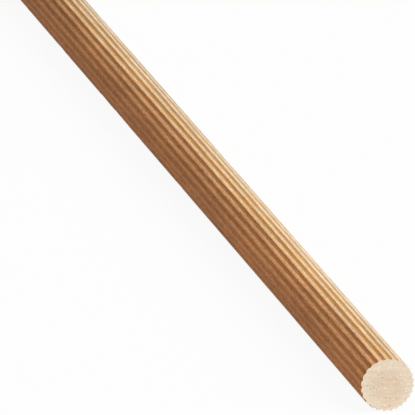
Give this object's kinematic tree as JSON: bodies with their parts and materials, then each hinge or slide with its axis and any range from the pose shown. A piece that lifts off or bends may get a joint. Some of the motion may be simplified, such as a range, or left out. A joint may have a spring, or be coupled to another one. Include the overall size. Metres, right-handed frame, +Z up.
{
  "type": "fluted dowel rod",
  "caption": "Straight round wooden rod with close scalloped flutes along its whole length and square sawn ends.",
  "frame": {"origin": "under the middle of the rod's length, on the surface that it lies on", "axes": "+X along the rod, +Z up; the rod lies on the two ridges beside its lowest flute, and its flutes are deepest low on the +Y side"},
  "size_m": [0.3048, 0.0094, 0.0095],
  "materials": {
    "wood": "bare, unfinished hardwood: golden brown moulded flutes, pale cream sawn end grain"
  },
  "bodies": {
    "root": {"rod": "wood"}
  },
  "joints": []
}
